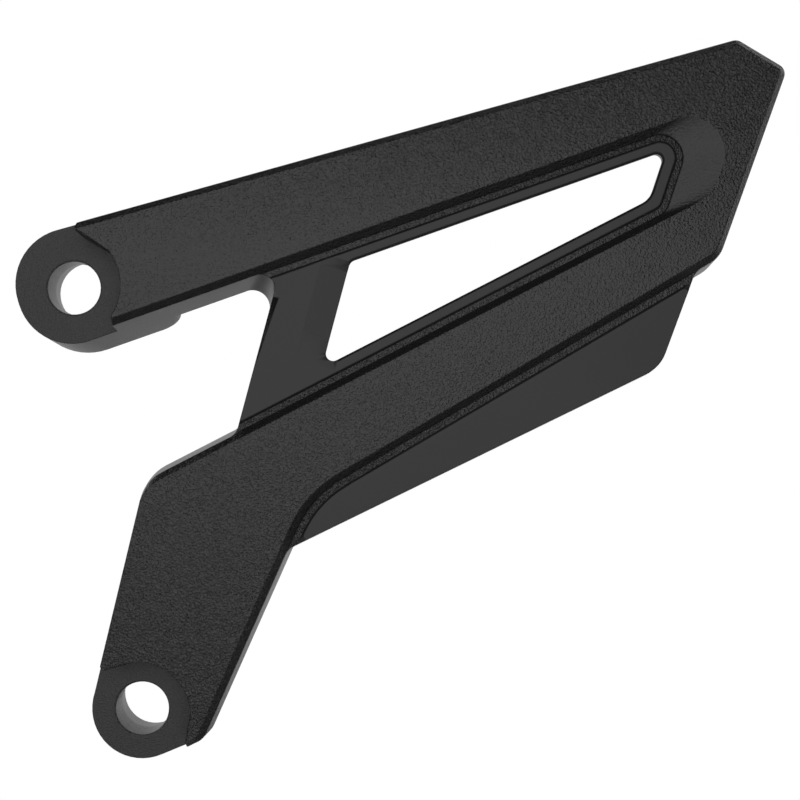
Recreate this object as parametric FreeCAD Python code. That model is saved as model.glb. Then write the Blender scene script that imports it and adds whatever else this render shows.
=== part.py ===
import FreeCAD, Part
import math
import os
from collections import namedtuple

from FreeCAD import Vector

# Front sprocket cover of an off-road motorcycle: one moulded shell that bolts over the drive sprocket.
# It is drawn in its front view: u runs to the right and v up from the upper bolt's axis, and w runs from
# the rear seats, which lie against the engine case, out to the front face. In its own frame the origin is
# on the upper bolt's axis, on the seat under the bolt's head. Millimetres and degrees.

# Bolts and bosses
lower_bolt_u = 15.5
lower_bolt_v = -95.4
bore_radius = 6.0
bore_land = 6.0
bore_rear_radius = 7.35
boss_length = 14.3
lower_boss_radius = 11.35
spot_radius = 11.7
spot_lean = 5.5

# Levels, measured back from the front face
cover_depth = 22.0
ledge_drop = 2.0
pad_rise = 0.5
plate_thickness = 2.2
skirt_depth = 13.0

# Walls and edges
wall = 3.0
front_skin = 2.8
wall_draft = 7.0
shoulder_draft = 7.0
leg_draft = 2.5
leg_outer_draft = 10.0
arm_low_draft = 5.6
top_draft = 9.0
chamfer_width = 1.6
edge_break = 0.3
band_step = 0.45
band_step_run = 0.12
pad_edge = 0.5
pad_round = 2.1
web_overrun = 2.0
strip_width = 1.25
arm_wall_inset = 0.1
shoulder_wall_inset = 0.22

# Upper arm: its top and low edges taper towards the nose
top_angle = 15.5
top_offset = 12.8
arm_low_angle = 19.4
arm_low_offset = 12.05
lug_angle = 17.5
lug_left_offset = 12.3
lug_round = 11.9

# Nose at the upper right
nose_angle = 149.0
nose_offset = 123.3
right_angle = 70.3
right_offset = 134.35
nose_round = 2.4
right_round = 6.5

# Lower arm, shoulder and leg
lower_arm_angle = 30.4
lower_arm_offset = 68.05
shoulder_angle = 27.2
shoulder_offset = 46.25
shoulder_round = 9.0
elbow_round = 25.0
leg_left_angle = 76.5
leg_left_offset = 10.3
leg_right_angle = 66.0
leg_right_offset = 15.8
leg_foot_angle = 22.5
leg_foot_offset = 10.65
foot_round = 10.65
heel_round = 4.0

# Strut, window and the end of the recess
strut_angle = 75.0
strut_offset = 44.9
strut_width = 14.6
notch_round = 3.0
notch_rear_round = 5.25
window_low_margin = 4.1
window_top_margin = 3.95
window_end_margin = 4.25
window_rounds = (4.9, 1.3, 2.0, 1.6)
recess_end_angle = 71.7
recess_end_offset = 121.1
recess_upper_round = 5.0
recess_lower_round = 4.5
slope_width = 8.4
slope_upper_round = 3.0
slope_lower_round = 7.0
facet_width = 6.2
facet_depth = 1.0
facet_ramp = 2.4
facet_fade = 7.0
strut_chamfer = 1.4
strut_chamfer_end = 0.06
strut_chamfer_start = 5.6
strut_chamfer_lead = 1.2
strut_chamfer_run = 20.5

# Fin under the lower arm
fin_low_angle = 26.0
fin_low_offset = 74.1
fin_right_angle = 69.7
fin_right_offset = 129.85
fin_round = 8.3
fin_root_round = 3.8
fin_notch_round = 4.0
fin_tip_round = 1.6
fin_strip_width = 1.4

# Deep lug behind the upper arm
lug_length = 20.0
lug_end_round = 1.8
lug_seat_round = 4.0
lug_seat_steps = 4

# Spotface outlines: the angles, about the bolt, of the entry chord, the arc and the exit
upper_spot = {"entry": 80.0, "arc_start": 38.0, "arc_end": -33.0, "exit": -33.0, "leave": -90.0}
lower_spot = {"entry": 124.0, "arc_start": 87.0, "arc_end": 6.0, "exit": -26.0, "leave": -63.0}

upper_bolt = (0.0, 0.0)
lower_bolt = (lower_bolt_u, lower_bolt_v)
ledge_level = cover_depth - ledge_drop
pad_level = ledge_level + pad_rise
skirt_level = cover_depth - skirt_depth
# How far the cutting shapes reach past the cover, and the swing of their outer corners
clear = 30.0
swing = 60.0
# The share of a side that its rounds may take up, and the smallest round that a tool leaves in a corner
round_room = 0.98
least_round = 0.8

Side = namedtuple("Side", "u v reach draft")


def lean(angle):
    """Slope of a drafted wall, as a run per unit of depth."""
    return math.tan(math.radians(angle))


def spot(angle, radius, about=upper_bolt):
    """A point at a bearing and a distance from another point."""
    turn = math.radians(angle)
    return (about[0] + radius * math.cos(turn), about[1] + radius * math.sin(turn))


def side(angle, offset, about=upper_bolt, draft=wall_draft):
    """A straight side walked at an angle, with its outer face to the right, at a distance from a point."""
    u, v = math.sin(math.radians(angle)), -math.cos(math.radians(angle))
    return Side(u, v, offset + u * about[0] + v * about[1], draft)


def flipped(line):
    """The same line walked the other way, for the region on its other side."""
    return Side(-line.u, -line.v, -line.reach, line.draft)


def moved(line, amount):
    """A parallel line, moved outwards."""
    return line._replace(reach=line.reach + amount)


def corner(a, b):
    """Where two sides meet."""
    cross = a.u * b.v - a.v * b.u
    return ((a.reach * b.v - b.reach * a.v) / cross, (a.u * b.reach - b.u * a.reach) / cross)


def outline(sides, rounds, level):
    """A closed wire at a level: straight sides joined by tangent arcs, each limited by the sides it joins."""
    pairs = list(zip(sides, sides[1:] + sides[:1]))
    corners = [corner(first, second) for first, second in pairs]
    turns = [math.atan2(a.u * b.v - a.v * b.u, a.u * b.u + a.v * b.v) for a, b in pairs]
    runs = [radius * math.tan(abs(turn) / 2) for radius, turn in zip(rounds, turns)]
    room = []
    for number in range(len(sides)):
        length = math.dist(corners[number - 1], corners[number])
        room.append(min(1.0, round_room * length / (runs[number - 1] + runs[number])))
    arcs = []
    for number, (first, second) in enumerate(pairs):
        limit = min(room[number], room[(number + 1) % len(sides)])
        radius, run = rounds[number] * limit, runs[number] * limit
        tip = Vector(*corners[number], level)
        start = tip + Vector(first.v, -first.u, 0) * run
        finish = tip + Vector(-second.v, second.u, 0) * run
        centre = start - Vector(first.u, first.v, 0) * math.copysign(radius, turns[number])
        arcs.append((start, centre + (tip - centre).normalize() * radius, finish))
    edges = []
    for number, (start, middle, finish) in enumerate(arcs):
        edges.append(Part.LineSegment(arcs[number - 1][2], start).toShape())
        edges.append(Part.Arc(start, middle, finish).toShape())
    return Part.Wire(edges)


def section(sides, rounds, level, out=0.0, drafted=True):
    """The outline at a level, set out by one amount, or by an amount for each side. Drafted sides lean out
    below the ledge, and the rounds grow or shrink with them."""
    depth = ledge_level - level if drafted else 0.0
    given = out if isinstance(out, list) else [out] * len(sides)
    outs = [amount + depth * lean(line.draft) for amount, line in zip(given, sides)]
    placed = [moved(line, amount) for line, amount in zip(sides, outs)]
    grown = []
    for number, radius in enumerate(rounds):
        first, second = sides[number], sides[(number + 1) % len(sides)]
        amount = (outs[number] + outs[(number + 1) % len(sides)]) / 2
        convex = first.u * second.v - first.v * second.u > 0
        grown.append(max(radius + (amount if convex else -amount), least_round))
    return outline(placed, grown, level)


def between(*sections):
    """The solid that runs straight from each section to the next."""
    return Part.makeLoft(list(sections), True, True)


def strip_of(points):
    """A closed straight-edged wire."""
    return Part.makePolygon(list(points) + [points[0]])


def column(radius, low, high, about, top_radius=None):
    """A round column, tapered where its top radius differs."""
    base = Vector(about[0], about[1], low)
    if top_radius is None:
        return Part.makeCylinder(radius, high - low, base)
    return Part.makeCone(radius, top_radius, high - low, base)


# The sides that the outlines share, walked with the cover on the left
leg_left = side(leg_left_angle - 180, leg_left_offset, lower_bolt, leg_outer_draft)
leg_foot = side(leg_foot_angle, leg_foot_offset, lower_bolt)
leg_right = side(leg_right_angle, leg_right_offset, lower_bolt, leg_draft)
lower_arm = side(lower_arm_angle, lower_arm_offset)
right = side(right_angle, right_offset)
nose = side(nose_angle, nose_offset)
top = side(top_angle + 180, top_offset, draft=top_draft)
lug_left = side(lug_angle - 90, lug_left_offset)
arm_low = side(arm_low_angle, arm_low_offset, draft=arm_low_draft)
recess_end = side(recess_end_angle - 180, -recess_end_offset)
shoulder = side(shoulder_angle - 180, -shoulder_offset, draft=shoulder_draft)
strut_left = side(strut_angle - 180, -strut_offset)
fin_low = side(fin_low_angle, fin_low_offset)
fin_right = side(fin_right_angle, fin_right_offset)
arm_low_wall = moved(arm_low, -arm_wall_inset)
shoulder_wall = moved(shoulder, -shoulder_wall_inset)

leg_sides = [leg_left, leg_foot, leg_right]
leg_rounds = [foot_round, heel_round]
nose_sides = [lower_arm, right, nose, top, lug_left]
nose_rounds = [right_round, nose_round, nose_round, lug_round, lug_round]
notch_sides = [arm_low_wall, strut_left, shoulder_wall]
notch_rounds = [notch_round, notch_round, shoulder_round]
notch_rear_rounds = [notch_rear_round, notch_round, shoulder_round]
lug_end = side(lug_angle + 90, lug_length, draft=0.0)
lug_rounds = [lug_end_round, lug_end_round, lug_round, lug_round]

body_sides = leg_sides + nose_sides + notch_sides
body_rounds = leg_rounds + [elbow_round] + nose_rounds + notch_rounds
body_rear_rounds = leg_rounds + [elbow_round] + nose_rounds + notch_rear_rounds
band_sides = leg_sides + nose_sides + [arm_low, recess_end, shoulder]
recess_rounds = [recess_upper_round, recess_lower_round, shoulder_round]
band_rounds = leg_rounds + [elbow_round] + nose_rounds + recess_rounds
slope_rounds = [slope_upper_round, slope_lower_round, shoulder_round]
band_face_rounds = leg_rounds + [elbow_round] + nose_rounds + slope_rounds
plate_sides = leg_sides + [fin_low, fin_right] + nose_sides + notch_sides
plate_rounds = leg_rounds + [fin_root_round, fin_round, fin_notch_round] + nose_rounds + notch_rounds


def raised_band():
    """The raised front of the two arms and the leg: a low step, then a chamfer. The leg's outer and foot
    sides go without it, and at the end of the recess it widens to a gentle slope."""
    base = section(band_sides, band_rounds, ledge_level, drafted=False)
    step = section(band_sides, band_rounds, ledge_level + band_step, -band_step_run, drafted=False)
    widths = {leg_left: edge_break, leg_foot: edge_break, recess_end: slope_width}
    insets = [-widths.get(line, chamfer_width) for line in band_sides]
    face = section(band_sides, band_face_rounds, cover_depth, insets, drafted=False)
    walls = between(
        section(body_sides, body_rounds, ledge_level),
        section(body_sides, body_rounds, cover_depth),
    )
    return between(base, step, face).common(walls)


def deep_lug():
    """The solid lug that carries the upper arm back to its seat, rounded off at the inner end of the seat."""
    stations = []
    for step in range(lug_seat_steps + 1):
        turn = math.pi / 2 * step / lug_seat_steps
        stations.append((lug_seat_round * (1 - math.cos(turn)), lug_seat_round * (math.sin(turn) - 1)))
    stations.append((ledge_level, 0.0))
    sections = []
    for level, longer in stations:
        sides = [arm_low_wall, moved(lug_end, longer), top, lug_left]
        sections.append(section(sides, lug_rounds, level))
    return between(*sections)


def lower_boss():
    """The round boss at the foot of the leg, drafted like the walls."""
    seat_radius = lower_boss_radius + boss_length * lean(wall_draft)
    return column(seat_radius, 0.0, boss_length, lower_bolt, lower_boss_radius)


def hollow():
    """The space behind the skin: the shell and the channel under the raised band, without the solid lug and
    the solid round each bolt."""
    under_plate = ledge_level - plate_thickness
    under_band = cover_depth - front_skin
    shell = between(
        section(body_sides, body_rear_rounds, skirt_level - wall, -wall),
        section(body_sides, body_rounds, under_plate, -wall),
    )
    channel = between(
        section(band_sides, band_rounds, under_plate - wall, -wall, drafted=False),
        section(band_sides, band_rounds, under_band, -wall, drafted=False),
    )
    space = shell.fuse(channel)
    kept = spot_radius + (cover_depth - boss_length) * lean(spot_lean) + wall
    return space.cut([column(kept, -clear, clear, bolt) for bolt in (upper_bolt, lower_bolt)])


def spotface(bolt, angles):
    """The cut over a boss: a round wall on the arm's side, with a flat at its start, open to the outside."""
    wires = []
    for level in (boss_length, cover_depth + wall):
        radius = spot_radius + (level - boss_length) * lean(spot_lean)
        begin = spot(angles["entry"], radius, bolt)
        arc = [spot(angles[key], radius, bolt) for key in ("arc_start", "arc_end")]
        halfway = spot((angles["arc_start"] + angles["arc_end"]) / 2, radius, bolt)
        leave = spot(angles["exit"], radius, bolt)
        outside = [
            spot(angles["leave"], clear, leave),
            spot(angles["leave"] - swing, 2 * clear, bolt),
            spot(angles["entry"] + swing, 2 * clear, bolt),
            spot(angles["entry"], clear, begin),
        ]
        turns = (begin, arc[0], halfway, arc[1], leave)
        begin, first, halfway, last, leave = (Vector(*point, level) for point in turns)
        edges = [Part.LineSegment(begin, first).toShape(), Part.Arc(first, halfway, last).toShape()]
        path = [last] if angles["exit"] == angles["arc_end"] else [last, leave]
        path += [Vector(*point, level) for point in outside] + [begin]
        edges += [Part.LineSegment(a, b).toShape() for a, b in zip(path, path[1:])]
        wires.append(Part.Wire(edges))
    return between(*wires)


def pad(sides, rounds, strip):
    """A smooth raised pad on the plate, a strip's width in from its sides, with its edges broken. Where it
    reaches the edge of the plate it is flush with it."""
    walls = between(
        section(plate_sides, plate_rounds, ledge_level - plate_thickness),
        section(plate_sides, plate_rounds, pad_level),
    )
    return between(
        section(sides, rounds, ledge_level - plate_thickness / 2, -strip, drafted=False),
        section(sides, rounds, ledge_level, -strip, drafted=False),
        section(sides, rounds, pad_level, -strip - pad_edge, drafted=False),
    ).common(walls)


web_edge = moved(strut_left, strip_width + web_overrun)
web_sides = [flipped(shoulder), flipped(recess_end), flipped(arm_low), web_edge]
web_rounds = [recess_lower_round, recess_upper_round, pad_round, pad_round]
fin_overrun = fin_strip_width + pad_edge
fin_edges = [moved(fin_low, fin_overrun), moved(fin_right, fin_overrun)]
fin_sides = fin_edges + [flipped(lower_arm), flipped(leg_right)]
fin_rounds = [fin_round + fin_overrun, fin_tip_round, elbow_round, fin_tip_round]
window_sides = [
    moved(flipped(shoulder), -window_low_margin),
    moved(flipped(recess_end), -window_end_margin),
    moved(flipped(arm_low), -window_top_margin),
    moved(strut_left, -strut_width),
]


def window():
    """The opening between the arms, wider to the rear, with its front edge broken."""
    return between(
        section(window_sides, window_rounds, 0.0),
        section(window_sides, window_rounds, ledge_level, drafted=False),
        section(window_sides, window_rounds, pad_level, pad_edge, drafted=False),
    )


def sloped_cut(line, stations):
    """A shallow cut along a side of the strut. Each station gives the distance along the side, how far in
    the cut starts and how deep it is at the side itself."""
    start = line[0]
    direction = Vector(-line[1].v, line[1].u, 0)
    outward = Vector(line[1].u, line[1].v, 0)
    up = Vector(0, 0, 1)
    wires = []
    for along, width, depth in stations:
        place = Vector(start[0], start[1], pad_level) + direction * along
        inner = place - outward * width
        outer = place + outward * wall - up * (depth * (width + wall) / width)
        wires.append(strip_of([inner, outer, outer + up * (wall + cover_depth), inner + up * wall]))
    return between(*wires)


def strut_facet():
    """The face that falls from the strut towards the window, eased in at the top and out at the bottom."""
    edge = flipped(window_sides[3])
    foot, head = corner(window_sides[3], window_sides[0]), corner(window_sides[2], window_sides[3])
    length = math.dist(foot, head)
    return sloped_cut((foot, edge), [
        (0.0, facet_width, 0.0),
        (facet_fade, facet_width, facet_depth),
        (length - facet_ramp, facet_width, facet_depth),
        (length, facet_width, 0.0),
    ])


def strut_edge():
    """The chamfer down the strut's outer edge, led in at the top and fading out towards its foot."""
    head = corner(arm_low_wall, strut_left)
    steep = ledge_drop / chamfer_width
    return sloped_cut((head, strut_left), [
        (strut_chamfer_start, strut_chamfer_end, strut_chamfer_end * steep),
        (strut_chamfer_start + strut_chamfer_lead, strut_chamfer, strut_chamfer * steep),
        (strut_chamfer_start + strut_chamfer_run, strut_chamfer_end, strut_chamfer_end * steep),
    ])


def bore(bolt):
    """The bolt hole: a round land for the collar behind the spotface, then a taper out to the seat."""
    land_level = boss_length - bore_land
    land = column(bore_radius, land_level, cover_depth, bolt)
    return land.fuse(column(bore_rear_radius, 0.0, land_level, bolt, bore_radius))


def sprocket_cover():
    """The whole moulding, in its front view."""
    skirt = between(
        section(body_sides, body_rear_rounds, skirt_level),
        section(body_sides, body_rounds, ledge_level),
    )
    plate = between(
        section(plate_sides, plate_rounds, ledge_level - plate_thickness),
        section(plate_sides, plate_rounds, ledge_level),
    )
    cover = skirt.fuse([plate, raised_band(), deep_lug(), lower_boss()])
    cover = cover.cut([spotface(upper_bolt, upper_spot), spotface(lower_bolt, lower_spot)])
    cover = cover.cut(hollow())
    cover = cover.fuse([pad(web_sides, web_rounds, strip_width), pad(fin_sides, fin_rounds, fin_strip_width)])
    cover = cover.cut([window(), strut_facet(), strut_edge(), bore(upper_bolt), bore(lower_bolt)])
    return cover.removeSplitter()


cover = sprocket_cover()
# Stood up as it is bolted on: u stays along X, v becomes Z and the front face looks along -Y.
cover.rotate(Vector(0, 0, 0), Vector(1, 0, 0), 90)
cover.translate(Vector(0, boss_length, 0))

os.makedirs("parts", exist_ok=True)
cover.exportStep("parts/sprocket_cover.step")
print("valid", cover.isValid(), "solids", len(cover.Solids), "faces", len(cover.Faces))
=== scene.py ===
"""A moulded front sprocket cover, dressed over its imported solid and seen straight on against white."""
import math

import bmesh
import bpy
import numpy as np
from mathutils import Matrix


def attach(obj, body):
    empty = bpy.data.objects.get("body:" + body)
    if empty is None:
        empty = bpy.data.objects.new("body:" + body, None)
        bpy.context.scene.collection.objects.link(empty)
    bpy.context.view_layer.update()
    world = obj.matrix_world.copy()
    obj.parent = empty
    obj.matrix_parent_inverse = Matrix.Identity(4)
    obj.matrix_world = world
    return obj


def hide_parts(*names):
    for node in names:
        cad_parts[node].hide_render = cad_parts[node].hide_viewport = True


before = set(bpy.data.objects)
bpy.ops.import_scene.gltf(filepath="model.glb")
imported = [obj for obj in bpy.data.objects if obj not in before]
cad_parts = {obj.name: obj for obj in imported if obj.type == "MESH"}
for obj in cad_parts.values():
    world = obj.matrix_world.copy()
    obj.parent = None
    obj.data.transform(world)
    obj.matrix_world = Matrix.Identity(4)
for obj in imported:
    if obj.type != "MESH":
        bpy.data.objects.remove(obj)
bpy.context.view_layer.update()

MM = 0.001

# The cover's own depths, bolt places and radii in millimetres, as its solid has them
FRONT_FACE = -7.7
PAD = -6.2
LEDGE = -5.7
STRUT_REAR = -5.0
SEAT = 0.0
BOLTS = ((0.0, 0.0), (15.5, -95.4))
BORE_RADIUS = 6.0
SPOT_RADIUS = 12.25

# How near two measures in millimetres count as the same, as close, or as both on a bore's facets, and how
# far apart two depths count as different levels
SAME = 0.05
CLOSE = 0.1
SAME_BORE = 0.15
APART = 0.3

# Edge rounds in millimetres, and the facets across each
BORE_ROUND = 0.42
SPOT_ROUND = 0.42
EDGE_ROUND = 0.16
LARGEST_ROUND = max(BORE_ROUND, SPOT_ROUND, EDGE_ROUND)
ROUND_STEPS = 2

# Angles in degrees: outer corners over the first are rounded, and bends over the second are creased.
# Between flat patches a bend over the third is a crease too, and facets within the fourth of each other are
# one flat face
ROUND_ANGLE = 35.0
CURVE_ANGLE = 14.0
CREASE_ANGLE = 2.5
FLAT_ANGLE = 0.3

# The depth part of a normal at which a patch looks forwards as the slope does, or a face looks to the rear
SLOPE_FACING = -0.8
REAR_FACING = 0.9

# Rims in millimetres: the piece that is cut off each end, the shortest rim that is cut, and how near corners
# are merged
RIM_END = 0.8
LONG_RIM = 4 * RIM_END
MERGED = 0.002

# Where rounds would cross: the fold in degrees that shows it, how near in millimetres an edge gives its
# round up, the share by which that reach grows each turn, and the most turns
FOLD_ANGLE = 140.0
EASE_REACH = 0.30
EASE_GROWTH = 0.2
EASE_TURNS = 12

# How strongly large faces hold the normals of their corners, and a length that is as good as none
FLAT_HOLD = 100
TINY = 1e-12

# How much of the grain each finish takes
COARSE = 1.6
GRAINED = 1.0
SATIN = 0.45
FINE = 0.25
SMOOTH = 0.0

# The plastic's colours: in the hollows of the grain with painted shade, on its ridges without it, and on the
# matt seats
SHADED_HOLLOW_BLACK = (0.0030, 0.0030, 0.0031, 1.0)
UNSHADED_RIDGE_BLACK = (0.0200, 0.0200, 0.0205, 1.0)
SEAT_GREY = (0.0355, 0.0355, 0.0360, 1.0)

# The noises: waves in each metre, detail, how far ridges are twisted, and the value that they swing about
RIDGES = 2250.0
RIDGE_DETAIL = 1.5
RIDGE_TWIST = 0.25
SPECKS = 2800.0
SPECK_DETAIL = 1.0
CLOUDS = 45.0
CLOUD_DETAIL = 3.0
MIDDLE = 0.5

# The relief: its height in metres, the level in metres at which the grain is shallowest, its depth there,
# what it gains for each metre above and below, and the depth of the seats' specks
RELIEF = 0.00027
QUIET_LEVEL = 0.006
QUIET_DEPTH = 0.72
GAIN_ABOVE = 19.0
GAIN_BELOW = 7.0
SPECK_DEPTH = 0.6

# The tint: how far it follows the clouds, how strongly painted shade darkens the hollows of the grain
# against its ridges, the depth from which that painted shade shows, and how far the seats turn grey, evenly
# and by their specks
CLOUD_TINT = 0.2
PAINTED_HOLLOW_SHADE = 4.5
HOLLOW_SHADE_DEPTH = 0.62
SEAT_TINT = 0.75
SPECK_TINT = 1.6

# The roughness of smooth plastic, and what clouds, grain and seats add to it
SMOOTH_ROUGHNESS = 0.42
CLOUD_ROUGHNESS = 0.06
GRAIN_ROUGHNESS = -0.20
SEAT_ROUGHNESS = 0.10

# The studio's floor, backdrop and side card: their sides in millimetres, their paint, and how white it looks
FLOOR = -400.0
FLOOR_LEFT = -1500.0
FLOOR_RIGHT = 1700.0
FLOOR_FRONT = -1500.0
WALL = 750.0
WALL_LEFT = -1100.0
WALL_RIGHT = 2200.0
WALL_LEFT_TOP = 520.0
WALL_RIGHT_TOP = 1500.0
CARD = 1300.0
CARD_FRONT = -200.0
CARD_TOP = 600.0
PALE = (0.82, 0.82, 0.82, 1.0)
WHITE = (1.0, 1.0, 1.0, 1.0)
FLOOR_WHITE = 0.6
WALL_WHITE = 1.0
CARD_WHITE = 0.5

# The soft box in front: its sides and depth in millimetres, its brightness, and that of the light all round
BOX_LEFT = -817.0
BOX_RIGHT = 590.0
BOX_LOW = -380.0
BOX_HIGH = 723.0
BOX_DEPTH = -900.0
BOX_BRIGHT = 1.31
AMBIENT = 0.045

# The photograph's viewpoint, straight on and level with the lower arm, and the lens, all in millimetres
VIEWPOINT = (74.02, -252.1, -25.42)
LENS = 50.0
SENSOR = 36.0
NEAREST = 10.0

# Turned up from looking down, so that a camera or a lamp looks level along +Y
LOOK_LEVEL = (math.radians(90.0), 0.0, 0.0)


class Value:
    """A shader socket that is worked with as a number. Each operator adds Math nodes through its maker."""

    def __init__(self, make, socket):
        self.make = make
        self.socket = socket

    def math(self, operation, other):
        """One Math node's result for this value and another value or number."""
        made = self.make.node("Math", {"operation": operation}, {0: self, 1: other})
        return Value(self.make, made.outputs[0])

    def __add__(self, other):
        return self.math("ADD", other)

    __radd__ = __add__

    def __mul__(self, other):
        return self.math("MULTIPLY", other)

    __rmul__ = __mul__

    def __sub__(self, other):
        return self.math("SUBTRACT", other)

    def __rsub__(self, other):
        return self * -1.0 + other

    def least(self, other):
        """The smaller of the two."""
        return self.math("MINIMUM", other)

    def most(self, other):
        """The larger of the two."""
        return self.math("MAXIMUM", other)


class Maker:
    """Adds nodes to one tree, which it empties first."""

    def __init__(self, tree):
        self.tree = tree
        tree.nodes.clear()

    def node(self, kind, settings=None, sockets=None):
        """One node. Its settings come first, then its sockets by name or place. A value or a socket is
        linked, and a number, colour or vector is set."""
        made = self.tree.nodes.new("ShaderNode" + kind)
        for name, setting in (settings or {}).items():
            setattr(made, name, setting)
        for name, item in (sockets or {}).items():
            source = item.socket if isinstance(item, Value) else item
            if isinstance(source, bpy.types.NodeSocket):
                self.tree.links.new(source, made.inputs[name])
            else:
                made.inputs[name].default_value = source
        return made

    def attribute(self, name):
        """A value that the mesh carries on its faces."""
        made = self.node("Attribute", {"attribute_name": name})
        return Value(self, made.outputs["Fac"])

    def noise(self, place, waves, detail, twist=0.0):
        """Cloudy noise with so many waves in each metre."""
        sockets = {"Vector": place, "Scale": waves, "Detail": detail, "Distortion": twist}
        return Value(self, self.node("TexNoise", sockets=sockets).outputs[0])

    def tint(self, share, start, end):
        """A colour between two others, by a share. A Mix node's colours are its sockets 6 and 7."""
        made = self.node("Mix", {"data_type": "RGBA"}, {0: share, 6: start, 7: end})
        return made.outputs[2]

    def either(self, share, first, second):
        """A surface that goes from one shader to another by a share."""
        made = self.node("MixShader", sockets={0: share, 1: first.outputs[0], 2: second.outputs[0]})
        return made.outputs[0]


def moulded_plastic():
    """Black moulded plastic. The grain is as deep as its share times a depth that grows above and below one
    level. The relief is that depth times the ridges, with fine specks on the seats. Painted shade darkens
    the hollows of the grain against its ridges where the grain is deep, seats are grey by their specks,
    clouds vary the tint, and grained faces are glossier."""
    material = bpy.data.materials.new("moulded_plastic")
    material.use_nodes = True
    make = Maker(material.node_tree)
    place = make.node("TexCoord").outputs["Object"]
    grain = make.attribute("grain")
    matt = make.attribute("matt")
    ridge = make.noise(place, RIDGES, RIDGE_DETAIL, RIDGE_TWIST)
    speck = make.noise(place, SPECKS, SPECK_DETAIL)
    cloud = make.noise(place, CLOUDS, CLOUD_DETAIL)

    level = Value(make, make.node("SeparateXYZ", sockets={"Vector": place}).outputs["Z"])
    above = (level - QUIET_LEVEL).most(0.0)
    below = (QUIET_LEVEL - level).most(0.0)
    depth = grain * (QUIET_DEPTH + GAIN_ABOVE * above + GAIN_BELOW * below)
    height = depth * ridge + SPECK_DEPTH * matt * speck
    bump = make.node("Bump", sockets={"Strength": 1.0, "Distance": RELIEF, "Height": height})

    # Painted shade: the hollows of the grain darker than its ridges, the more so where the grain is deeper
    # above and below the quiet level
    hollow_shade = PAINTED_HOLLOW_SHADE * (depth - HOLLOW_SHADE_DEPTH * grain) * (ridge - MIDDLE)
    # The clouds vary the black at random, and the painted shade of the hollows is added to them
    black = make.tint(MIDDLE + CLOUD_TINT * (cloud - MIDDLE) + hollow_shade, SHADED_HOLLOW_BLACK, UNSHADED_RIDGE_BLACK)
    colour = make.tint(matt * (SEAT_TINT + SPECK_TINT * (speck - MIDDLE)), black, SEAT_GREY)
    roughness = (SMOOTH_ROUGHNESS + CLOUD_ROUGHNESS * cloud + GRAIN_ROUGHNESS * grain.least(GRAINED)
                 + SEAT_ROUGHNESS * matt)
    finish = {"Base Color": colour, "Roughness": roughness, "Normal": bump.outputs["Normal"]}
    shader = make.node("BsdfPrincipled", sockets=finish)
    make.node("OutputMaterial", sockets={"Surface": shader.outputs["BSDF"]})
    return material


def read(items, name, kind, width=1):
    """One property of all the vertices, edges, corners or faces of a mesh, as an array."""
    values = np.empty(len(items) * width, kind)
    items.foreach_get(name, values)
    return values.reshape(-1, width) if width > 1 else values


def write(mesh, name, kind, domain, values):
    """An attribute of a mesh, made if it isn't there yet and filled from an array."""
    layer = mesh.attributes.get(name) or mesh.attributes.new(name, kind, domain)
    layer.data.foreach_set("value", values)


def dots(first, second):
    """The dot product of each row of one array with the same row of another."""
    return np.einsum("ij,ij->i", first, second)


def patches(mesh):
    """The patch that each facet belongs to. Each face of the solid comes as a patch of facets that share
    corners with each other and with no other patch, so the lowest corner number spreads through a patch as
    its label."""
    corners = read(mesh.loops, "vertex_index", np.int32).reshape(-1, 3)
    label = np.arange(len(mesh.vertices))
    while True:
        joined = label.copy()
        np.minimum.at(joined, corners.ravel(), np.repeat(label[corners].min(axis=1), 3))
        if np.array_equal(joined, label):
            return np.unique(label[corners[:, 0]], return_inverse=True)[1].astype(np.int32)
        label = joined


def finishes(mesh, patch):
    """How much grain each facet takes, and which facets are matt seats. Both come from the depths that a
    patch spans, and the slope also from the mean depth part of its normals. The pads and the strut are
    smooth, the raised faces with their chamfers are grained, and the strips beside the pads are coarse. The
    slope at the end of the recess is satin, the seats are flat at their own depth, and the rest is fine."""
    depth = read(mesh.vertices, "co", np.float32, 3)[:, 1] / MM
    corners = read(mesh.loops, "vertex_index", np.int32).reshape(-1, 3)
    count = patch.max() + 1
    front = np.full(count, np.inf)
    rear = np.full(count, -np.inf)
    facing = np.zeros(count)
    np.minimum.at(front, patch, depth[corners].min(axis=1))
    np.maximum.at(rear, patch, depth[corners].max(axis=1))
    np.add.at(facing, patch, read(mesh.polygons, "normal", np.float32, 3)[:, 1])
    facing /= np.bincount(patch)
    front, rear, facing = front[patch], rear[patch], facing[patch]

    raised = front < PAD - APART
    slope = raised & (facing < SLOPE_FACING) & (rear > FRONT_FACE + APART) & (rear < LEDGE)
    amount = np.full(len(patch), FINE)
    amount[(front > PAD - CLOSE) & (rear < STRUT_REAR)] = SMOOTH
    amount[raised & (rear < LEDGE + CLOSE)] = GRAINED
    amount[(abs(front - LEDGE) < SAME) & (abs(rear - LEDGE) < SAME)] = COARSE
    amount[slope] = SATIN
    seats = (abs(front - SEAT) < SAME) & (abs(rear - SEAT) < SAME)
    return amount, seats.astype(float)


def flat_patches(patch, normal, area):
    """Whether each facet's patch is flat: no facet of it turns away from the patch's mean normal, weighted
    by area, by more than the crease angle."""
    mean = np.zeros((patch.max() + 1, 3))
    np.add.at(mean, patch, normal * area[:, None])
    mean /= np.maximum(np.linalg.norm(mean, axis=1), TINY)[:, None]
    agreement = np.ones(patch.max() + 1)
    np.minimum.at(agreement, patch, dots(normal, mean[patch]))
    return agreement[patch] > math.cos(math.radians(CREASE_ANGLE))


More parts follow.
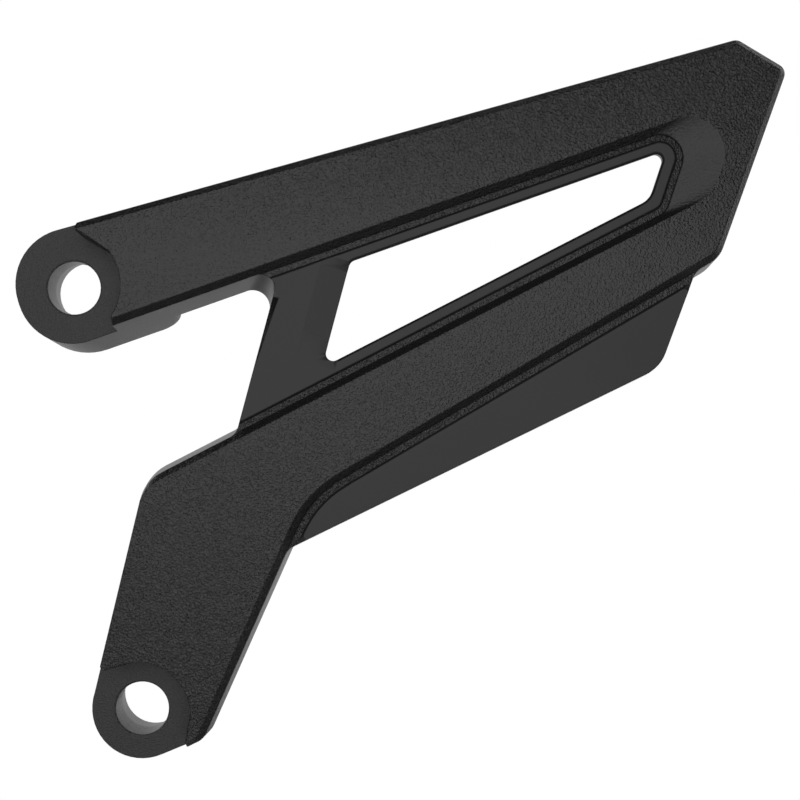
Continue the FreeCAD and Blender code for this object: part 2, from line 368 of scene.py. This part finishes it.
def mark_edges(mesh):
    """Marks the edges that a mould rounds off, by how much, and those that stay sharp. Only edges between
    two patches count. A corner is an outer one where the second facet's middle lies behind the first's
    plane. Outer corners are rounded, and inner corners and shallow creases between flat patches stay
    sharp."""
    edge_of_corner = read(mesh.loops, "edge_index", np.int32)
    corner_count = read(mesh.polygons, "loop_total", np.int32)
    face_of_corner = np.repeat(np.arange(len(mesh.polygons)), corner_count)
    first, second = face_of_corner[np.argsort(edge_of_corner, kind="stable")].reshape(-1, 2).T
    normal = read(mesh.polygons, "normal", np.float32, 3)
    middle = read(mesh.polygons, "center", np.float32, 3)
    patch = read(mesh.attributes["patch"].data, "value", np.int32)
    flat = flat_patches(patch, normal, read(mesh.polygons, "area", np.float32))

    angle = np.degrees(np.arccos(np.clip(dots(normal[first], normal[second]), -1.0, 1.0)))
    ends = read(mesh.edges, "vertices", np.int32, 2)
    spot = read(mesh.vertices, "co", np.float32, 3)[ends].mean(axis=1)
    outer = dots(normal[first], middle[second] - spot) < 0.0
    apart = patch[first] != patch[second]
    rounded = apart & outer & (angle > ROUND_ANGLE)
    crease = (angle > CURVE_ANGLE) | (flat[first] & flat[second] & (angle > CREASE_ANGLE))

    width = np.where(rounded, EDGE_ROUND, 0.0)
    on_seat = abs(spot[:, 1] - SEAT * MM) < SAME * MM
    on_front = spot[:, 1] < (FRONT_FACE + SAME) * MM
    for across, up in BOLTS:
        reach = np.hypot(spot[:, 0] / MM - across, spot[:, 2] / MM - up)
        width[rounded & on_seat & (abs(reach - BORE_RADIUS) < SAME_BORE)] = BORE_ROUND
        width[rounded & on_front & (reach < SPOT_RADIUS)] = SPOT_ROUND
    write(mesh, "bevel_weight_edge", "FLOAT", "EDGE", width / LARGEST_ROUND)
    write(mesh, "sharp_edge", "BOOLEAN", "EDGE", apart & crease & ~rounded)
    write(mesh, "sharp_face", "BOOLEAN", "FACE", flat)


def patches_beside(edge, label):
    """How many patches an edge lies in: one inside a patch, and two on the rim between two."""
    return len({face[label] for face in edge.link_faces})


def cut_ends(edge):
    """Cuts a short piece off each end of an edge, at that length's share of the whole."""
    for end in tuple(edge.verts):
        piece = bmesh.utils.edge_split(edge, end, RIM_END * MM / edge.calc_length())[0]
        edge = max(edge, piece, key=lambda part: part.calc_length())


def merged_mesh(node, finish):
    """A merged copy of the solid's mesh, with its finishes. The facets of a flat patch become one face,
    unless it looks to the rear. Long rims are cut near their ends, and all faces become facets again."""
    mesh = node.data.copy()
    mesh.name = "moulded_cover"
    mesh.materials.clear()
    mesh.materials.append(finish)
    patch = patches(mesh)
    grain, matt = finishes(mesh, patch)
    write(mesh, "patch", "INT", "FACE", patch)
    write(mesh, "grain", "FLOAT", "FACE", grain)
    write(mesh, "matt", "FLOAT", "FACE", matt)

    shape = bmesh.new()
    shape.from_mesh(mesh)
    bmesh.ops.remove_doubles(shape, verts=shape.verts[:], dist=MERGED * MM)
    label = shape.faces.layers.int["patch"]
    inner = [edge for edge in shape.edges
             if patches_beside(edge, label) == 1 and edge.link_faces[0].normal.y < REAR_FACING]
    bmesh.ops.dissolve_limit(shape, angle_limit=math.radians(FLAT_ANGLE), verts=[], edges=inner)
    rims = [edge for edge in shape.edges
            if patches_beside(edge, label) > 1 and edge.calc_length() > LONG_RIM * MM]
    for edge in rims:
        cut_ends(edge)
    bmesh.ops.triangulate(shape, faces=shape.faces[:], quad_method="BEAUTY", ngon_method="BEAUTY")
    shape.to_mesh(mesh)
    shape.free()
    if "custom_normal" in mesh.attributes:
        mesh.attributes.remove(mesh.attributes["custom_normal"])
    mesh.shade_smooth()
    return mesh


def crossings(cover):
    """The middles of the edges at which a facet of the rounded cover folds back on its neighbour, or more or
    fewer than two facets meet."""
    shape = bmesh.new()
    shape.from_object(cover, bpy.context.evaluated_depsgraph_get())
    bmesh.ops.triangulate(shape, faces=shape.faces[:])
    bmesh.ops.remove_doubles(shape, verts=shape.verts[:], dist=MERGED * MM)
    folded = [edge for edge in shape.edges if edge.calc_face_angle(math.pi) > math.radians(FOLD_ANGLE)]
    places = np.array([(edge.verts[0].co + edge.verts[1].co) / 2 for edge in folded])
    shape.free()
    return places


def ease_rounds(cover):
    """Leaves the round off the edges beside each crossing, and looks again until no rounds cross. An edge's
    distance from a place is taken at its nearest point: the place's share of the way along the edge, kept
    between the edge's two ends."""
    mesh = cover.data
    ends = read(mesh.vertices, "co", np.float32, 3)[read(mesh.edges, "vertices", np.int32, 2)]
    start = ends[:, 0]
    along = ends[:, 1] - start
    weight = read(mesh.attributes["bevel_weight_edge"].data, "value", np.float32)
    for turn in range(EASE_TURNS):
        beside = np.zeros(len(weight), bool)
        for place in crossings(cover):
            share = np.clip(dots(place - start, along) / dots(along, along), 0.0, 1.0)
            gap = np.linalg.norm(start + share[:, None] * along - place, axis=1)
            beside |= gap < (1.0 + EASE_GROWTH * turn) * EASE_REACH * MM
        if not weight[beside].any():
            break
        weight[beside] = 0.0
        write(mesh, "bevel_weight_edge", "FLOAT", "EDGE", weight)
        mesh.update()
        bpy.context.view_layer.update()


def moulded_skin(node, finish):
    """The cover as its mould leaves it: the solid's merged mesh with its outer corners rounded off, except
    beside places where two rounds would cross."""
    mesh = merged_mesh(node, finish)
    mark_edges(mesh)
    cover = bpy.data.objects.new("moulded_cover", mesh)
    bpy.context.scene.collection.objects.link(cover)
    rounds = cover.modifiers.new("edge_rounds", "BEVEL")
    rounds.width = LARGEST_ROUND * MM
    rounds.segments = ROUND_STEPS
    rounds.limit_method = "WEIGHT"
    rounds.use_clamp_overlap = False
    rounds.loop_slide = False
    seams = cover.modifiers.new("seams", "WELD")
    seams.merge_threshold = MERGED * MM
    flats = cover.modifiers.new("flat_faces", "WEIGHTED_NORMAL")
    flats.mode = "FACE_AREA"
    flats.weight = FLAT_HOLD
    flats.keep_sharp = True
    ease_rounds(cover)
    return cover


def studio_paint(name, white, mirrored):
    """A pale matt paint that the camera sees as plain white by one share, and reflections by another."""
    material = bpy.data.materials.new(name)
    material.use_nodes = True
    make = Maker(material.node_tree)
    rays = make.node("LightPath")
    looked_at = Value(make, rays.outputs["Is Camera Ray"])
    reflected = Value(make, rays.outputs["Is Glossy Ray"])
    paint = make.node("BsdfDiffuse", sockets={"Color": PALE})
    glow = make.node("Emission", sockets={"Color": WHITE, "Strength": 1.0})
    surface = make.either(looked_at * white + reflected * mirrored, paint, glow)
    make.node("OutputMaterial", sockets={"Surface": surface})
    return material


def sheet_of(name, corners, paint):
    """A flat four-cornered sheet of the studio, from its corners in millimetres."""
    mesh = bpy.data.meshes.new(name)
    mesh.from_pydata([tuple(c * MM for c in corner) for corner in corners], [], [(0, 1, 2, 3)])
    mesh.materials.append(paint)
    made = bpy.data.objects.new(name, mesh)
    bpy.context.scene.collection.objects.link(made)


def studio():
    """A floor, a backdrop whose top slants, and a card at the right for the walls there to reflect."""
    floor = [
        (FLOOR_LEFT, FLOOR_FRONT, FLOOR),
        (FLOOR_RIGHT, FLOOR_FRONT, FLOOR),
        (FLOOR_RIGHT, WALL, FLOOR),
        (FLOOR_LEFT, WALL, FLOOR),
    ]
    backdrop = [
        (WALL_LEFT, WALL, FLOOR),
        (WALL_RIGHT, WALL, FLOOR),
        (WALL_RIGHT, WALL, WALL_RIGHT_TOP),
        (WALL_LEFT, WALL, WALL_LEFT_TOP),
    ]
    card = [
        (CARD, WALL, FLOOR),
        (CARD, CARD_FRONT, FLOOR),
        (CARD, CARD_FRONT, CARD_TOP),
        (CARD, WALL, CARD_TOP),
    ]
    sheet_of("floor", floor, studio_paint("floor_paint", FLOOR_WHITE, 0.0))
    sheet_of("backdrop", backdrop, studio_paint("backdrop_paint", WALL_WHITE, WALL_WHITE))
    sheet_of("side_card", card, studio_paint("card_paint", CARD_WHITE, CARD_WHITE))


def front_box():
    """A large soft box, square to the cover's front. Its power is its brightness times pi times its area."""
    lamp = bpy.data.lights.new("front_box", "AREA")
    lamp.shape = "RECTANGLE"
    lamp.size = (BOX_RIGHT - BOX_LEFT) * MM
    lamp.size_y = (BOX_HIGH - BOX_LOW) * MM
    lamp.energy = BOX_BRIGHT * math.pi * lamp.size * lamp.size_y
    made = bpy.data.objects.new("front_box", lamp)
    bpy.context.scene.collection.objects.link(made)
    middle = ((BOX_LEFT + BOX_RIGHT) / 2, BOX_DEPTH, (BOX_LOW + BOX_HIGH) / 2)
    made.location = [c * MM for c in middle]
    made.rotation_euler = LOOK_LEVEL


def dim_surroundings():
    """A dim, even light from all round, which the camera sees as plain white."""
    world = bpy.data.worlds.new("studio")
    bpy.context.scene.world = world
    world.use_nodes = True
    make = Maker(world.node_tree)
    rays = make.node("LightPath")
    dim = make.node("Background", sockets={"Color": WHITE, "Strength": AMBIENT})
    white = make.node("Background", sockets={"Color": WHITE, "Strength": 1.0})
    make.node("OutputWorld", sockets={"Surface": make.either(rays.outputs["Is Camera Ray"], dim, white)})


def level_camera():
    """The camera at the photograph's viewpoint, level and square to the cover's front."""
    eye = bpy.data.cameras.new("camera")
    eye.lens = LENS
    eye.sensor_width = SENSOR
    eye.clip_start = NEAREST * MM
    camera = bpy.data.objects.new("camera", eye)
    bpy.context.scene.collection.objects.link(camera)
    camera.location = [c * MM for c in VIEWPOINT]
    camera.rotation_euler = LOOK_LEVEL
    bpy.context.scene.camera = camera


cover = moulded_skin(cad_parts["sprocket_cover"], moulded_plastic())
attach(cover, "root")
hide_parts("sprocket_cover")

studio()
front_box()
dim_surroundings()
level_camera()
bpy.context.scene.view_settings.view_transform = "Standard"
